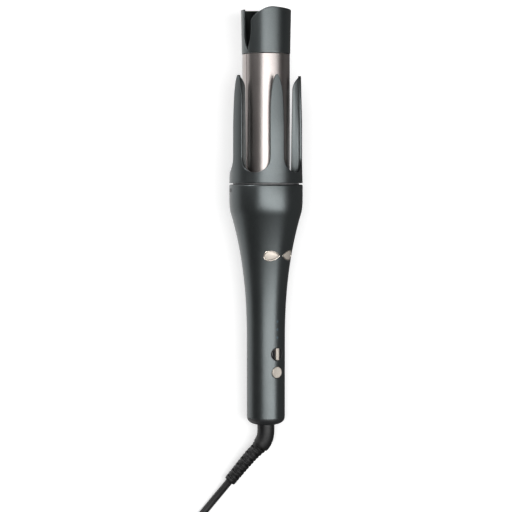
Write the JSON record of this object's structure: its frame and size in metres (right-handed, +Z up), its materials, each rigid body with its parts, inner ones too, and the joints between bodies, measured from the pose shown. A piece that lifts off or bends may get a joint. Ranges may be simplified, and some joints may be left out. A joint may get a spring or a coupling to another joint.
{
  "type": "automatic hair curler",
  "caption": "Corded automatic hair curler: a motor turns a ring of claws round a heated barrel, on a flared grip with push buttons and a selector.",
  "frame": {"origin": "middle of the tool's box on the table it lies on, not counting the strain relief, cord and plug", "axes": "+Y from the tail to the tip along the table, +Z up from the table, +X to the right; the buttons face up and 36 degrees to the right"},
  "size_m": [0.1064, 0.4795, 0.0605],
  "materials": {
    "shell": "satin metallic gunmetal grey",
    "dark_trim": "fine matte",
    "inner_plastic": "moulded",
    "board": "lacquered board",
    "board_part": "moulded",
    "steel": "plated",
    "led": "clear lens",
    "light_pipe": "clear, slightly milky",
    "selector_disc": "polished dark",
    "champagne": "satin champagne",
    "lead": "wire insulation",
    "brass": "machined",
    "gear_plastic": "moulded, self-lubricating",
    "barrel_metal": "polished pale champagne",
    "heater_aluminium": "extruded",
    "ceramic": "fired",
    "cord_rubber": "matte flexible sheath",
    "tie_strap": "woven hook-and-loop",
    "pin_metal": "nickel-plated"
  },
  "bodies": {
    "body": {"handle_sleeve": "shell", "tail_cap": "dark_trim", "chassis_tray": "inner_plastic", "control_board": "board", "board_parts": "board_part", "switches": "steel", "switch_cradle": "inner_plastic", "indicator_leds": "led", "light_pipes": "light_pipe", "selector_bezel": "champagne", "power_bezel": "champagne", "leaf_bezels": "champagne", "index_mark": "dark_trim", "cord_clamp": "inner_plastic", "clamp_screws": "steel", "mains_leads": "lead", "motor": "steel", "gearbox": "brass", "gearbox_screws": "steel", "motor_leads": "lead", "drive_deck": "inner_plastic", "idler_pin": "steel", "barrel_base": "inner_plastic", "base_screws": "steel", "bearing_collar": "gear_plastic", "retaining_ring": "steel", "barrel": "barrel_metal", "heater_cores": "heater_aluminium", "heating_plates": "ceramic", "heater_clip": "steel", "thermal_fuse": "ceramic", "temperature_sensor": "inner_plastic", "heater_leads": "lead", "tip_insulator": "ceramic", "tip_screw": "steel", "tip_cap": "shell", "strain_relief": "cord_rubber", "cord_run": "cord_rubber", "cord_coil": "cord_rubber", "cord_tail": "cord_rubber", "cord_tie": "tie_strap", "plug_body": "cord_rubber", "plug_pins": "pin_metal"},
    "claw_rotor": {"claw_ring": "shell", "ring_gear": "gear_plastic", "ring_screws": "steel"},
    "pinion": {"drive_pinion": "brass"},
    "idler": {"idler_gear": "gear_plastic"},
    "left_button": {"left_button": "champagne"},
    "right_button": {"right_button": "champagne"},
    "power_button": {"power_button": "champagne"},
    "selector": {"selector": "selector_disc", "selector_bar": "champagne"}
  },
  "joints": [
    {"name": "claw_spin", "type": "hinge", "parent": "body", "child": "claw_rotor", "pos_m": [0, 0.02749, 0.02887], "axis": [0, 0.9967, 0.0814], "continuous": true},
    {"name": "idler_spin", "type": "hinge", "parent": "body", "child": "idler", "pos_m": [-0.00941, 0.01858, 0.01516], "axis": [0, 0.9967, 0.0814], "continuous": true},
    {"name": "pinion_spin", "type": "hinge", "parent": "body", "child": "pinion", "pos_m": [-0.00294, 0.01785, 0.02403], "axis": [0, 0.9967, 0.0814], "continuous": true},
    {"name": "left_button_press", "type": "slide", "parent": "body", "child": "left_button", "axis": [-0.2292, 0.0792, -0.9701], "range_m": [0, 0.0008], "stiffness_N_per_m": 400, "springref_m": -0.0004},
    {"name": "right_button_press", "type": "slide", "parent": "body", "child": "right_button", "axis": [-0.8549, 0.0422, -0.5171], "range_m": [0, 0.0008], "stiffness_N_per_m": 400, "springref_m": -0.0004},
    {"name": "power_button_press", "type": "slide", "parent": "body", "child": "power_button", "axis": [-0.5878, 0.0658, -0.8063], "range_m": [0, 0.0008], "stiffness_N_per_m": 400, "springref_m": -0.0004},
    {"name": "selector_turn", "type": "hinge", "parent": "body", "child": "selector", "pos_m": [0.00764, -0.10293, 0.02877], "axis": [0.5878, -0.0658, 0.8063], "range_deg": [-40, 40]}
  ],
  "couplings": [
    {"joint": "idler_spin", "follows": "claw_spin", "ratio": 3.6667},
    {"joint": "pinion_spin", "follows": "claw_spin", "ratio": -4.4}
  ]
}
